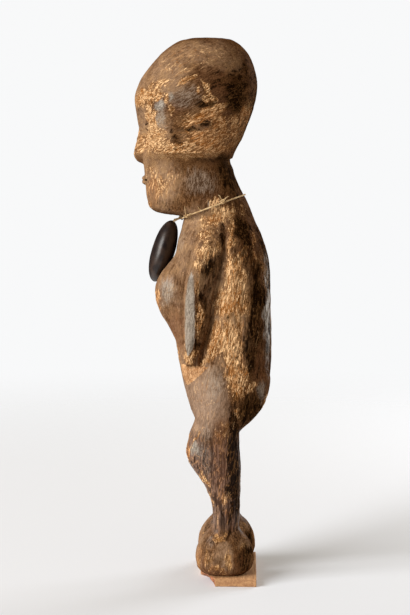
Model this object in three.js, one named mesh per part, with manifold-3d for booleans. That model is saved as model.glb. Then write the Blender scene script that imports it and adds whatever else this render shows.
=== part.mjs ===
// A carved wood standing figure of a woman on a thin slab, with a seed hung at the neck on a string.
// Millimetres, +Z up. The figure faces -Y, and its left side is at +X.
// The origin is the middle of the slab's underside.

import * as THREE from "three";
import { mergeVertices } from "three/addons/utils/BufferGeometryUtils.js";
import Module from "manifold-3d";

const wasm = await Module();
wasm.setup();

// Driving dimensions
const topOfHead = 400;
const slabThickness = 6.5;
const slabHalfWidth = 33.5;
const slabHalfDepth = 21;
const brokenAlongSide = 11; // how much of the side edge is gone at the broken corner
const brokenAlongFront = 13.5; // and of the front edge
const gap = 0.3; // between pieces that touch

const chinHeight = 272; // the underside of the jaw
const creaseHeight = 313; // where the back of the head overhangs the neck
const stumpHeight = 162; // where the arms end, on a ledge of the hip

const seedLength = 47;
const seedWidth = 37;
const seedThickness = 17;
const seedLean = 17; // degrees that its lower edge stands forward
const seedMiddle = [0, -48.8, 244.5];

const stringThickness = 1.2;

// Facets round each form
const bodySides = 40;
const limbSides = 16;
const armSides = 14;

// Outlines: pairs of a height and a place or a size at that height

// The body from the crotch to the top of the head, along its front, back and widest line
const bodyFront = [
  [106, -6], [112, -17], [119, -25], [135, -30.5], [150, -34.5], [168, -38], [190, -41], [207, -42],
  [225, -41.2], [241, -39.4], [253, -37.6], [262, -35], [chinHeight - 2, -33.6], [chinHeight, -46],
  [chinHeight + 2, -55], [chinHeight + 6, -59.5], [298, -62], [320, -64], [345, -68], [356, -69.3],
  [368, -65.8], [378, -59], [388, -50], [395, -41.5], [398.6, -34], [topOfHead, -25],
];
const bodyBack = [
  [106, 0], [111, 5], [118, 11], [126, 18.5], [136, 25.5], [150, 30.6], [175, 31.8],
  [212, 31], [235, 30], [250, 26.3], [266, 19.6], [280, 13.8], [292, 7.8], [304, 3.2],
  [creaseHeight - 2, 2.4], [creaseHeight + 2, 3.4], [328, 9.6], [342, 15.2], [356, 19.6], [366, 20.6],
  [378, 18.6], [387, 15], [394, 8.8], [398.6, 1], [topOfHead, -9],
];
const bodyHalfWidth = [
  [106, 9], [112, 20], [120, 29], [130, 34.5], [142, 36.5], [152, 36.4], [172, 34], [195, 33],
  [225, 34.5], [244, 35], [256, 32], [264, 27], [chinHeight - 1, 23.8], [chinHeight + 3, 24.6],
  [300, 25.2], [creaseHeight - 2, 26.6], [creaseHeight + 2, 28.6], [330, 33], [348, 36], [364, 36.5],
  [378, 33.5], [388, 28], [395, 20.4], [398.6, 12.5], [topOfHead, 4],
];
const bodyWidest = [
  [106, -4], [118, -3], [136, 0], [175, 0], [212, -1], [240, -4], [262, -9], [284, -14], [310, -22],
  [350, -23], [topOfHead, -17],
];
const frontFullness = [
  [106, 2.2], [150, 2.4], [200, 2.5], [245, 2.9], [262, 2.4], [chinHeight, 2.1], [340, 2.2],
];
const backFullness = [[106, 2.2], [150, 2.3], [230, 2.2], [262, 2.1], [340, 2.1]];

// The legs, from inside the buttocks down: a sharp knee in front and a straight back
const legFront = [
  [26, -9.5], [42, -10.8], [52, -11.6], [61, -13], [69, -16], [82, -24], [91, -30], [97.5, -31.5],
  [104, -30.3], [114, -26.5], [124, -24.5], [166, -16],
];
const legBack = [
  [26, 6], [48, 8.2], [62, 9], [80, 9], [96, 8], [111, 7.8], [115, 10.5], [120, 16.3], [127, 22.8],
  [134, 26.8], [142, 29.4], [150, 30.6], [158, 29.4], [166, 24],
];
const legHalfWidth = [
  [26, 8.8], [48, 9.4], [62, 10], [80, 11.8], [97, 13.6], [112, 15.2], [126, 17.4], [146, 17],
  [158, 14.5], [166, 10],
];
const legMiddle = [[26, 18.5], [62, 18], [97, 17.2], [126, 17.2], [166, 17]];

// The feet, domes like hooves, as shares of their greatest reach
const footHalfLength = 22;
const footHalfWidth = 15.5;
const footSide = 18.5;
const leftFootMiddle = -2.5;
const rightFootMiddle = -1.8;
const footShare = [
  [slabThickness, 0.72], [10.5, 0.92], [17, 1], [24, 0.97], [30, 0.87], [35, 0.72], [39.5, 0.54],
  [43, 0.42],
];

// The arms, a long ridge on each side that tapers to a stump: their middle, and how far they reach
const armMiddle = [
  [158, -26.3], [172, -25.8], [190, -23.7], [211, -21.8], [226, -19.2], [240, -15.8], [262, -10],
];
const armOut = [
  [158, 25.5], [175, 27], [190, 28], [211, 29.5], [226, 30.5], [245, 30.5], [256, 27], [268, 20],
];
const armHalfLength = [
  [158, 4.7], [168, 5.3], [182, 7.4], [197, 9.5], [211, 10.3], [226, 10.8], [240, 10], [268, 8],
];
const armProud = [[158, 5.4], [175, 6.2], [197, 7.2], [226, 8], [248, 8], [258, 6.4], [268, 4]];

// The rear edge of the long facet planed on each arm
const facetEdge = [[170, -29], [177, -25.1], [190, -23.8], [204, -23.7], [218, -24.1], [232, -26]];

// The value of an outline at a height, along a smooth curve that never overshoots its points
function along(outline, height) {
  const last = outline.length - 1;
  if (height <= outline[0][0]) {
    return outline[0][1];
  }
  if (height >= outline[last][0]) {
    return outline[last][1];
  }
  const step = (i) => outline[i + 1][0] - outline[i][0];
  const rise = (i) => (outline[i + 1][1] - outline[i][1]) / step(i);
  const slope = (i) => {
    if (i === 0 || i === last) {
      return rise(Math.min(i, last - 1));
    }
    const [before, after] = [rise(i - 1), rise(i)];
    if (before * after <= 0) {
      return 0;
    }
    const [a, b] = [2 * step(i) + step(i - 1), step(i) + 2 * step(i - 1)];
    return (a + b) / (a / before + b / after);
  };
  let i = 0;
  while (height > outline[i + 1][0]) {
    i += 1;
  }
  const t = (height - outline[i][0]) / step(i);
  const ends = outline[i][1] * (1 + 2 * t) * (1 - t) ** 2 + outline[i + 1][1] * t * t * (3 - 2 * t);
  return ends + step(i) * (slope(i) * t * (1 - t) ** 2 - slope(i + 1) * t * t * (1 - t));
}

function clamp(value) {
  return Math.min(1, Math.max(0, value));
}

// A rounded closed section, fuller than an ellipse where its fullness is over 2. Angle 0 is the front
function section(angle, { front, back, halfWidth, widest, fullness = [2, 2] }) {
  const [toSide, toBack] = [Math.sin(angle), -Math.cos(angle)];
  const [reach, power] = toBack > 0 ? [back - widest, fullness[1]] : [widest - front, fullness[0]];
  const x = halfWidth * Math.sign(toSide) * Math.abs(toSide) ** (2 / power);
  const y = widest + reach * Math.sign(toBack) * Math.abs(toBack) ** (2 / power);
  return [x, y];
}

// A closed skin over rings of equally many points, lowest ring first, each counterclockwise from above
function skin(rings) {
  const sides = rings[0].length;
  const points = rings.flat();
  const faces = [];
  const add = (ring, side) => ring * sides + (side % sides);
  for (let ring = 0; ring < rings.length - 1; ring += 1) {
    for (let side = 0; side < sides; side += 1) {
      const [a, b] = [add(ring, side), add(ring, side + 1)];
      const [c, d] = [add(ring + 1, side + 1), add(ring + 1, side)];
      faces.push(a, b, c, a, c, d);
    }
  }
  const middle = (ring) => [0, 1, 2].map((k) => ring.reduce((sum, p) => sum + p[k], 0) / sides);
  points.push(middle(rings[0]), middle(rings[rings.length - 1]));
  const [bottom, top] = [points.length - 2, points.length - 1];
  for (let side = 0; side < sides; side += 1) {
    faces.push(bottom, add(0, side + 1), add(0, side));
    faces.push(top, add(rings.length - 1, side), add(rings.length - 1, side + 1));
  }
  const geometry = new THREE.BufferGeometry();
  geometry.setAttribute("position", new THREE.Float32BufferAttribute(points.flat(), 3));
  geometry.setIndex(faces);
  return geometry;
}

// Numbers from one to another in about equal steps
function steps(from, to, step) {
  const count = Math.round((to - from) / step);
  return Array.from({ length: count + 1 }, (_, i) => from + ((to - from) * i) / count);
}

// A closed form with a ring of points at each height
function loft(heights, sides, pointAt) {
  const angles = Array.from({ length: sides }, (_, i) => (i / sides) * 2 * Math.PI);
  return solid(skin(heights.map((z) => angles.map((angle) => [...pointAt(angle, z), z]))));
}

// Joining and cutting
function solid(geometry) {
  const bare = geometry.clone();
  bare.deleteAttribute("normal");
  bare.deleteAttribute("uv");
  const merged = mergeVertices(bare, 1e-4);
  return new wasm.Manifold(
    new wasm.Mesh({
      numProp: 3,
      vertProperties: new Float32Array(merged.attributes.position.array),
      triVerts: new Uint32Array(merged.index.array),
    }),
  );
}

function surface(manifold) {
  const mesh = manifold.getMesh();
  const geometry = new THREE.BufferGeometry();
  geometry.setAttribute("position", new THREE.BufferAttribute(mesh.vertProperties, 3));
  geometry.setIndex(new THREE.BufferAttribute(mesh.triVerts, 1));
  geometry.computeVertexNormals();
  return geometry;
}

function egg([x, y, z], [halfX, halfY, halfZ], lean = 0, sides = 18) {
  const shape = new THREE.SphereGeometry(1, sides, Math.round(sides * 0.6));
  shape.scale(halfX, halfY, halfZ);
  shape.rotateY(lean);
  shape.translate(x, y, z);
  return solid(shape);
}

// The body, with the breasts raised on its front
const breast = { side: 16.5, height: 217, proud: 14.5, radius: 20, above: 30, below: 44 };

function breastRelief(x, z) {
  const across = (Math.abs(x) - breast.side) / breast.radius;
  const up = (z - breast.height) / (z > breast.height ? breast.above : breast.below);
  return breast.proud * Math.max(0, 1 - across * across - up * up) ** 2;
}

// The cut ledge under each arm's end: the hip stands out below a line that rises to the back
const ledge = { corner: -14.5, rise: 0.95, reach: 11, proud: 3 };

function ledgeRelief(x, y, z) {
  const above = z - (stumpHeight + ledge.rise * (y - ledge.corner));
  const outside = z < stumpHeight && Math.abs(x) > 16;
  return outside ? Math.sign(x) * ledge.proud * clamp(above / ledge.reach) : 0;
}

function bodyPoint(angle, z) {
  const widest = along(bodyWidest, z);
  const [x, y] = section(angle, {
    front: along(bodyFront, z),
    back: along(bodyBack, z),
    halfWidth: along(bodyHalfWidth, z),
    widest,
    fullness: [along(frontFullness, z), along(backFullness, z)],
  });
  return [x + ledgeRelief(x, y, z), y < widest ? y - breastRelief(x, z) : y];
}

const bodyHeights = [
  ...steps(106, stumpHeight - 2, 6),
  stumpHeight - 0.2,
  stumpHeight + 0.6,
  ...steps(168, 256, 6.3),
  ...steps(260, chinHeight - 2, 3.4),
  chinHeight - 0.5,
  chinHeight + 1.4,
  chinHeight + 4.5,
  ...steps(chinHeight + 10, creaseHeight - 2, 7),
  creaseHeight,
  creaseHeight + 2.5,
  ...steps(creaseHeight + 8, topOfHead - 20, 7.3),
  ...[14.5, 10, 6, 3, 1, 0].map((below) => topOfHead - below),
];

// Limbs. side is +1 for the figure's left and -1 for its right
function leg(side) {
  return loft(steps(26, 166, 7), limbSides, (angle, z) => {
    const [x, y] = section(angle, {
      front: along(legFront, z),
      back: along(legBack, z),
      halfWidth: along(legHalfWidth, z),
      widest: -2,
      fullness: [2.2, 2.3],
    });
    return [x + side * along(legMiddle, z), y];
  });
}

function foot(side) {
  const middle = side > 0 ? leftFootMiddle : rightFootMiddle;
  const heights = [slabThickness + gap, 10.5, 14.5, 19, 24, 28.5, 32.5, 36, 39.5, 43];
  return loft(heights, limbSides, (angle, z) => {
    const share = along(footShare, z);
    const x = side * footSide + footHalfWidth * share * Math.sin(angle);
    return [x, middle - footHalfLength * share * Math.cos(angle)];
  });
}

// An arm has a steep rear edge, an outer face that falls away to the back, and a planed facet before it
function arm(side) {
  return loft(steps(stumpHeight, 268, 7.6), armSides, (angle, z) => {
    const [middle, half] = [along(armMiddle, z), along(armHalfLength, z)];
    const [x, y] = section(angle, {
      front: middle - half,
      back: middle + half,
      halfWidth: along(armProud, z),
      widest: middle,
      fullness: [2.8, 3.4],
    });
    const roof = 1 - 0.42 * clamp((y - middle) / half + 0.12);
    const planed = Math.max(0, along(facetEdge, z) - y) * clamp(1.4 - Math.abs(z - 200) / 24);
    return [side * (along(armOut, z) - 0.32 * planed) + x * roof, y];
  });
}

// The groove cut behind each arm, which ends below on the flat ledge of the hip. Its rear side is a slope
const groove = { top: 268, out: 3.5, halfWidth: 5, depth: 5.6, behind: -0.5, fadeLength: 26 };
const grooveSlope = [[162, 4.5], [175, 7], [198, 10.5], [222, 11], [245, 7], [262, 5]];

function armGroove(side) {
  return loft(steps(stumpHeight, groove.top, 10), 12, (angle, z) => {
    const fade = clamp(0.15 + (groove.top - z) / groove.fadeLength);
    const reach = Math.cos(angle) > 0 ? groove.halfWidth : along(grooveSlope, z);
    const x = along(armOut, z) + groove.out;
    const y = along(armMiddle, z) + along(armHalfLength, z) + groove.behind;
    return [side * x + groove.depth * fade * Math.sin(angle), y - reach * fade * Math.cos(angle)];
  });
}

// The face: a hollow on each side of the nose under arched brows, long closed eyes and a small mouth.
// The eyes lie halfway up the head, and leans are in radians
const eyeHeight = (chinHeight + topOfHead) / 2;
const eyeSide = 14.5;
const hollow = { front: -70, height: eyeHeight - 7, half: [13, 13, 22], lean: 0.2 };
const eye = { front: -56.5, half: [7.5, 4, 2.8], lean: -0.12 };
const mouth = { front: -58.5, height: chinHeight + 25, half: [8.5, 5.5, 3] };
const nose = {
  inside: -58,
  heights: [308, 310.5, 314, 319, 326, 334, 343, 352],
  front: [[308, -61], [311, -68], [316, -70.5], [326, -68.5], [338, -66.5], [352, -67]],
  halfWidth: [[308, 3.2], [312, 5.2], [318, 4.8], [328, 3.4], [338, 2.6], [352, 2.2]],
};

function hollowedCheek(side) {
  return egg([side * eyeSide, hollow.front, hollow.height], hollow.half, side * hollow.lean, 20);
}

function closedEye(side) {
  return egg([side * eyeSide, eye.front, eyeHeight], eye.half, side * eye.lean, 12);
}

function noseRidge() {
  return loft(nose.heights, 10, (angle, z) => [
    along(nose.halfWidth, z) * Math.sin(angle),
    nose.inside + (along(nose.front, z) - nose.inside) * Math.cos(angle),
  ]);
}

// The whole carving, cut and joined into one solid
let carving = loft(bodyHeights, bodySides, bodyPoint);
for (const side of [-1, 1]) {
  carving = carving.subtract(armGroove(side)).subtract(hollowedCheek(side)).add(closedEye(side));
  carving = carving.add(leg(side)).add(foot(side)).add(arm(side));
}
carving = carving.add(noseRidge()).add(egg([0, mouth.front, mouth.height], mouth.half, 0, 12));

// Pieces
function piece(name, geometry, { color, roughness }) {
  const material = new THREE.MeshStandardMaterial({ color, roughness, metalness: 0 });
  const mesh = new THREE.Mesh(geometry, material);
  mesh.name = name;
  return mesh;
}

// The slab, a rectangle with its front left corner broken off along a ragged line
function slabGeometry() {
  const [w, d] = [slabHalfWidth, slabHalfDepth];
  const corners = [
    [-w, -d],
    [w - brokenAlongFront, -d],
    [w - brokenAlongFront + 3, -d + 4.5],
    [w - 4, -d + brokenAlongSide - 4.5],
    [w, -d + brokenAlongSide],
    [w, d],
    [-w, d],
  ];
  const outline = new THREE.Shape(corners.map(([x, y]) => new THREE.Vector2(x, y)));
  return new THREE.ExtrudeGeometry(outline, { depth: slabThickness, bevelEnabled: false });
}

// A thick lens with a rounded rim, turned about its thickness and leaning on the chest
function seedGeometry() {
  const rim = steps(-Math.PI / 2, Math.PI / 2, Math.PI / 8);
  const profile = rim.map((t) => {
    const outward = Math.abs(Math.cos(t)) < 1e-9 ? 0 : Math.cos(t) ** 0.8;
    const up = Math.sign(Math.sin(t)) * Math.abs(Math.sin(t)) ** 1.1;
    return new THREE.Vector2((outward * seedLength) / 2, (up * seedThickness) / 2);
  });
  const seed = new THREE.LatheGeometry(profile, 20);
  seed.scale(seedWidth / seedLength, 1, 1);
  seed.rotateX(THREE.MathUtils.degToRad(-seedLean));
  seed.translate(...seedMiddle);
  return seed;
}

// The string: once round the neck from the throat, and forward to the seed's upper edge
const stringRoute = [
  [1.9, -34.8, 269.1], [6.5, -34.3, 269.2], [13.4, -33.3, 269.5], [20.3, -30.3, 270.7],
  [24.4, -24.3, 273], [25.5, -17.4, 275.5], [25.7, -11, 277.9], [24.9, -4.8, 280.2],
  [22.2, 1, 282.4], [18, 5.9, 284.2], [12.5, 9.4, 285.4], [6.3, 11.2, 286.1], [0, 11.8, 286.4],
  [-6.3, 11.2, 286.1], [-12.5, 9.4, 285.4], [-18, 5.9, 284.2], [-22.2, 1, 282.4],
  [-24.9, -4.8, 280.2], [-25.7, -11, 277.9], [-25.5, -17.4, 275.5], [-24.4, -24.3, 273],
  [-20.3, -30.3, 270.7], [-13.4, -33.3, 269.5], [-7.5, -34.2, 269.2], [-3, -35.2, 269.1],
  [-0.8, -37.6, 268.7], [0, -41, 267.9],
];

function stringGeometry() {
  const sides = 8;
  const round = new THREE.Shape(
    Array.from({ length: sides }, (_, i) => {
      const angle = (i / sides) * 2 * Math.PI;
      return new THREE.Vector2(Math.cos(angle), Math.sin(angle)).multiplyScalar(stringThickness / 2);
    }),
  );
  const route = new THREE.CatmullRomCurve3(stringRoute.map((point) => new THREE.Vector3(...point)));
  return new THREE.ExtrudeGeometry(round, { steps: 62, extrudePath: route, bevelEnabled: false });
}

const wood = { color: 0x6b4526, roughness: 0.62 };
const paleWood = { color: 0xc79a6a, roughness: 0.8 };
const seedCoat = { color: 0x2a1a14, roughness: 0.3 };
const fibre = { color: 0xcaa878, roughness: 0.85 };

const work = new THREE.Group();
work.add(piece("base_slab", slabGeometry(), paleWood));
work.add(piece("figure", surface(carving), wood));
work.add(piece("pendant", seedGeometry(), seedCoat));
work.add(piece("neck_string", stringGeometry(), fibre));

export default work;
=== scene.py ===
# A carved wood figure of a woman on a thin slab, with a seed hung at the neck on a fibre string.
# Lengths are millimetres in the pieces' dictionaries, and metres for the camera, the finishes' zones and
# the studio. The figure faces -Y, and its left side is at +X.
import math

import bpy
import numpy as np
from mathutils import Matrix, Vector


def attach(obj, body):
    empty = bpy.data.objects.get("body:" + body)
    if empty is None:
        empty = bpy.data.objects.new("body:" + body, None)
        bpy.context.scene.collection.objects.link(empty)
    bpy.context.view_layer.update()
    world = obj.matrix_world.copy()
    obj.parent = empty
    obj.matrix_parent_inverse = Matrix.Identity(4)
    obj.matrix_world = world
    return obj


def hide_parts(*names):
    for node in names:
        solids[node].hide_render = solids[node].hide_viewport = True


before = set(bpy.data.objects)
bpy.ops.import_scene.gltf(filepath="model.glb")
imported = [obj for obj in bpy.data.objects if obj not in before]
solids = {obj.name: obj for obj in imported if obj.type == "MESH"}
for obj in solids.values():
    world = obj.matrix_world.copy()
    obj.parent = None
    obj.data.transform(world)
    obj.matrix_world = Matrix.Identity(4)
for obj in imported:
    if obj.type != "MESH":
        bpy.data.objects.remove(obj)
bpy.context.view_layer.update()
scene = bpy.context.scene
mm = 0.001
print("frame loaded")


# Smooth random fields and outlines

shuffled = np.random.default_rng(11).permutation(256)
slopes = np.random.default_rng(12).normal(size=(256, 3))
slopes /= np.linalg.norm(slopes, axis=1, keepdims=True)


def cloud(points, size, shift=0.0):
    # Gradient noise, about -1 to 1: slopes at the corners of a lattice, blended by a quintic curve.
    # size is how far apart its lumps are, one number or one for each axis
    place = points / np.asarray(size, float) + shift * 17.31
    cell = np.floor(place).astype(np.int64)
    inside = place - cell
    blend = inside ** 3 * (inside * (inside * 6 - 15) + 10)
    total = np.zeros(len(points))
    for corner in np.array(np.meshgrid([0, 1], [0, 1], [0, 1])).reshape(3, 8).T:
        at = cell + corner
        pick = shuffled[(shuffled[(shuffled[at[:, 0] & 255] + at[:, 1]) & 255] + at[:, 2]) & 255]
        share = np.where(corner, blend, 1 - blend).prod(1)
        total += share * (slopes[pick] * (inside - corner)).sum(1)
    return total * 1.6


def ramp(value, low, high):
    # 0 below low, 1 above high, and a smooth curve between them
    t = np.clip((value - low) / (high - low), 0, 1)
    return t * t * (3 - 2 * t)


def bell(value, middle, reach):
    # 1 at the middle and 0 beyond the reach on either side
    return ramp(1 - np.abs(value - middle) / reach, 0, 1)


def ridge(value, width):
    # 1 at 0, falling off on both sides as exp(-(value / width)^2)
    return np.exp(-(value / width) ** 2)


def turned(a, b, angle):
    # Two coordinates after a turn in their plane
    c, s = math.cos(angle), math.sin(angle)
    return a * c - b * s, a * s + b * c


def cubic(t, gap, values, slopes):
    # From one point to the next, a gap on: first (1+2t)(1-t)^2 + last t^2(3-2t), and the gap times
    # firstSlope t(1-t)^2 - lastSlope t^2(1-t)
    ends = values[0] * (1 + 2 * t) * (1 - t) ** 2 + values[1] * t * t * (3 - 2 * t)
    return ends + gap * (slopes[0] * t * (1 - t) ** 2 - slopes[1] * t * t * (1 - t))


def along(outline, height):
    # The outline's value at each height: cubics whose slopes are harmonic means, so that none overshoots
    table = np.array(outline, float)
    places, values = table[:, 0], table[:, 1]
    step = np.diff(places)
    rise = np.diff(values) / step
    first, second = 2 * step[1:] + step[:-1], step[1:] + 2 * step[:-1]
    with np.errstate(divide="ignore", invalid="ignore"):
        mean = (first + second) / (first / rise[:-1] + second / rise[1:])
    inner = np.where(rise[:-1] * rise[1:] > 0, mean, 0)
    slope = np.concatenate([rise[:1], inner, rise[-1:]])
    z = np.clip(height, places[0], places[-1])
    i = np.clip(np.searchsorted(places, z, side="right") - 1, 0, len(step) - 1)
    t = (z - places[i]) / step[i]
    return cubic(t, step[i], (values[i], values[i + 1]), (slope[i], slope[i + 1]))


# Meshes from grids

def ringFaces(rings, sides):
    # Quads between neighbouring rings of a grid, each ring running on into its own start
    ring = np.arange(rings - 1)[:, None] * sides
    side = np.arange(sides)[None, :]
    after, above = (side + 1) % sides, ring + sides
    corners = [ring + side, ring + after, above + after, above + side]
    return np.stack(np.broadcast_arrays(*corners), -1).reshape(-1, 4)


def closedGrid(grid):
    # A grid of rings, lowest first, shut at both ends by a fan round the middle of the end ring
    rings, sides = grid.shape[:2]
    points = np.concatenate([grid.reshape(-1, 3), grid[[0, -1]].mean(1)])
    side = np.arange(sides)
    after, last = (side + 1) % sides, (rings - 1) * sides
    low = np.stack([np.full(sides, rings * sides), after, side], 1)
    high = np.stack([np.full(sides, rings * sides + 1), last + side, last + after], 1)
    return points, ringFaces(rings, sides), np.concatenate([low, high])


def joined(parts):
    # Several closed grids as one list of points, quads and triangles
    points, quads, triangles, start = [], [], [], 0
    for somePoints, someQuads, someTriangles in parts:
        points.append(somePoints)
        quads.append(someQuads + start)
        triangles.append(someTriangles + start)
        start += len(somePoints)
    return np.concatenate(points), np.concatenate(quads), np.concatenate(triangles)


def meshObject(name, points, quads, triangles=np.zeros((0, 3), int)):
    mesh = bpy.data.meshes.new(name)
    mesh.from_pydata(points * mm, [], quads.tolist() + triangles.tolist(), shade_flat=False)
    mesh.validate()
    made = bpy.data.objects.new(name, mesh)
    scene.collection.objects.link(made)
    return made


def vectorsOf(items, key):
    flat = np.zeros(len(items) * 3, np.float32)
    items.foreach_get(key, flat)
    return flat.reshape(-1, 3).astype(float)


def pointsOf(mesh):
    return vectorsOf(mesh.vertices, "co") / mm


def movePoints(mesh, points):
    mesh.vertices.foreach_set("co", (points * mm).astype(np.float32).ravel())
    mesh.update()


def setField(mesh, name, values):
    field = mesh.attributes.new(name, "FLOAT", "POINT")
    field.data.foreach_set("value", np.clip(values, 0, 1).astype(np.float32))


def evened(points, edges, rounds, share):
    # Each round moves every point by its share towards the mean of its neighbours
    count = np.bincount(edges.ravel(), minlength=len(points))[:, None]
    for _ in range(rounds):
        total = np.stack([
            np.bincount(edges[:, 0], points[edges[:, 1], k], len(points))
            + np.bincount(edges[:, 1], points[edges[:, 0], k], len(points)) for k in range(3)], 1)
        points = points + share[:, None] * (total / count - points)
    return points


def modified(thing, **modifiers):
    # The object's mesh after the given modifiers, each as type=settings, put back into the object
    for kind, settings in modifiers.items():
        added = thing.modifiers.new(kind, kind)
        for key, value in settings.items():
            setattr(added, key, value)
    graph = bpy.context.evaluated_depsgraph_get()
    finished = bpy.data.meshes.new_from_object(thing.evaluated_get(graph))
    thing.modifiers.clear()
    thing.data = finished
    return thing


# Materials

class Wire:
    # A socket that can be added, subtracted and multiplied, which adds Math nodes
    def __init__(self, nodes, socket):
        self.nodes, self.socket = nodes, socket

    def math(self, operation, a, b):
        return self.nodes.node("Math", {"operation": operation}, {0: a, 1: b}, 0)

    def __add__(self, other):
        return self.math("ADD", self, other)

    def __radd__(self, other):
        return self.math("ADD", other, self)

    def __sub__(self, other):
        return self.math("SUBTRACT", self, other)

    def __rsub__(self, other):
        return self.math("SUBTRACT", other, self)

    def __mul__(self, other):
        return self.math("MULTIPLY", self, other)

    def __rmul__(self, other):
        return self.math("MULTIPLY", other, self)


class Nodes:
    # The nodes of a material or of the world
    def __init__(self, owner):
        owner.use_nodes = True
        self.tree = owner.node_tree
        self.tree.nodes.clear()

    def node(self, kind, settings, sockets, output=None):
        made = self.tree.nodes.new("ShaderNode" + kind)
        for key, value in settings.items():
            setattr(made, key, value)
        for key, value in sockets.items():
            if isinstance(value, Wire):
                self.tree.links.new(value.socket, made.inputs[key])
            else:
                made.inputs[key].default_value = value
        return None if output is None else Wire(self, made.outputs[output])


class Paint(Nodes):
    # A material
    def __init__(self, name):
        self.material = bpy.data.materials.new(name)
        super().__init__(self.material)
        self.place = self.node("TexCoord", {}, {}, "Object")

    def noise(self, place, size, detail, rough):
        # Cloudy noise about 0, from -0.5 to 0.5, whose lumps are about size millimetres apart
        sockets = {"Vector": place, "Scale": 1 / (size * mm), "Detail": detail, "Roughness": rough}
        return self.node("TexNoise", {}, sockets, 0) - 0.5

    def stretched(self, stretch, turn=0):
        # Object coordinates turned round X, then scaled, so that a pattern runs long where stretch is small
        sockets = {"Vector": self.place, "Rotation": (math.radians(turn), 0, 0)}
        turned = self.node("Mapping", {}, sockets, 0)
        return self.node("Mapping", {}, {"Vector": turned, "Scale": stretch}, 0)

    def between(self, share, first, second):
        # The blend of two vectors
        return self.node("Mix", {"data_type": "VECTOR"}, {0: share, 4: first, 5: second}, 1)

    def moved(self, operation, first, second):
        # Vector maths, where scaling takes a plain number
        second = {"Scale": second} if operation == "SCALE" else {1: second}
        return self.node("VectorMath", {"operation": operation}, {0: first, **second}, 0)

    def jogged(self, place, size, reach):
        # Coordinates pushed to and fro by as much as reach millimetres
        push = self.node("TexNoise", {}, {"Vector": self.place, "Scale": 1 / (size * mm), "Detail": 2.0}, 1)
        push = self.moved("SUBTRACT", push, (0.5, 0.5, 0.5))
        return self.moved("ADD", place, self.moved("SCALE", push, 2 * reach * mm))

    def threads(self, place, size, width):
        # Thin lines where a slow noise crosses its middle value
        level = self.noise(place, size, 2, 0.5)
        return self.rampOf(level * level, width * width, 0.0)

    def cells(self, place, size):
        # How far the nearest rim of a cell is, and the grey of each cell's own colour, about 0
        sockets = {"Vector": place, "Scale": 1 / (size * mm), "Randomness": 1.0}
        rim = self.node("TexVoronoi", {"feature": "DISTANCE_TO_EDGE"}, sockets, "Distance")
        return rim, self.node("TexVoronoi", {"feature": "F1"}, sockets, "Color") - 0.5

    def field(self, name):
        return self.node("Attribute", {"attribute_name": name}, {}, "Fac")

    def rampOf(self, value, low, high):
        # 0 at low, 1 at high and a smooth curve between them
        sockets = {"Value": value, 1: low, 2: high}
        return self.node("MapRange", {"interpolation_type": "SMOOTHSTEP"}, sockets, 0)

    def mix(self, share, first, second):
        # The blend of two colours
        first, second = (end if isinstance(end, Wire) else (*end, 1) for end in (first, second))
        return self.node("Mix", {"data_type": "RGBA"}, {0: share, 6: first, 7: second}, 2)

    def graded(self, value, low, high, tones):
        # From the first tone at low to the second at high
        return self.mix(self.rampOf(value, low, high), *tones)

    def finish(self, bumps=(), **sockets):
        # bumps are pairs of a height and how many millimetres high it is, the coarsest first
        for height, depth in bumps:
            inputs = {"Height": height, "Distance": depth * mm, "Strength": 1.0}
            if "Normal" in sockets:
                inputs["Normal"] = sockets["Normal"]
            sockets["Normal"] = self.node("Bump", {}, inputs, 0)
        named = {key.replace("_", " "): (*value, 1) if isinstance(value, tuple) else value
                 for key, value in sockets.items()}
        self.node("OutputMaterial", {}, {"Surface": self.node("BsdfPrincipled", {}, named, 0)})
        return self.material


def placed(name, data, place, looking):
    # A camera or a light that looks along a direction
    made = bpy.data.objects.new(name, data)
    made.location = place
    made.rotation_mode = "QUATERNION"
    made.rotation_quaternion = Vector(looking).to_track_quat("-Z", "Y")
    scene.collection.objects.link(made)
    return made


# Camera, at the photograph's viewing angle: the figure's left side, seen a little from above
photoView = {"place": (0.89008, 0.01327, 0.286), "looking": (-0.99502771, -0.03474713, -0.09334071),
             "lens": 70.24, "sensor": 36}
camera = bpy.data.cameras.new("camera")
camera.lens, camera.sensor_width = photoView["lens"], photoView["sensor"]
scene.camera = placed("camera", camera, photoView["place"], photoView["looking"])

# The string: a two-ply twine once round the neck, from the throat back to it, then forward to the seed
string = {
    "thickness": 1.2, "ply": 4.2, "sides": 14, "step": 0.35,
    "route": [
        (1.9, -34.8, 269.1), (6.5, -34.3, 269.2), (13.4, -33.3, 269.5), (20.3, -30.3, 270.7),
        (24.4, -24.3, 273), (25.5, -17.4, 275.5), (25.7, -11, 277.9), (24.9, -4.8, 280.2),
        (22.2, 1, 282.4), (18, 5.9, 284.2), (12.5, 9.4, 285.4), (6.3, 11.2, 286.1), (0, 11.8, 286.4),
        (-6.3, 11.2, 286.1), (-12.5, 9.4, 285.4), (-18, 5.9, 284.2), (-22.2, 1, 282.4),
        (-24.9, -4.8, 280.2), (-25.7, -11, 277.9), (-25.5, -17.4, 275.5), (-24.4, -24.3, 273),
        (-20.3, -30.3, 270.7), (-13.4, -33.3, 269.5), (-7.5, -34.2, 269.2), (-3, -35.2, 269.1),
        (-0.8, -37.6, 268.7), (0, -41, 267.9)],
}


def smoothPath(route, step):
    # Points about a step apart on a cubic curve through the route, its slopes by the neighbours
    knots = np.array(route, float)
    gaps = np.linalg.norm(np.diff(knots, axis=0), axis=1)
    places = np.concatenate([[0], np.cumsum(gaps)])
    slope = np.gradient(knots, places, axis=0)
    at = np.linspace(0, places[-1], max(4, int(places[-1] / step)))
    i = np.clip(np.searchsorted(places, at, side="right") - 1, 0, len(gaps) - 1)
    t = ((at - places[i]) / gaps[i])[:, None]
    return cubic(t, gaps[i][:, None], (knots[i], knots[i + 1]), (slope[i], slope[i + 1]))


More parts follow.
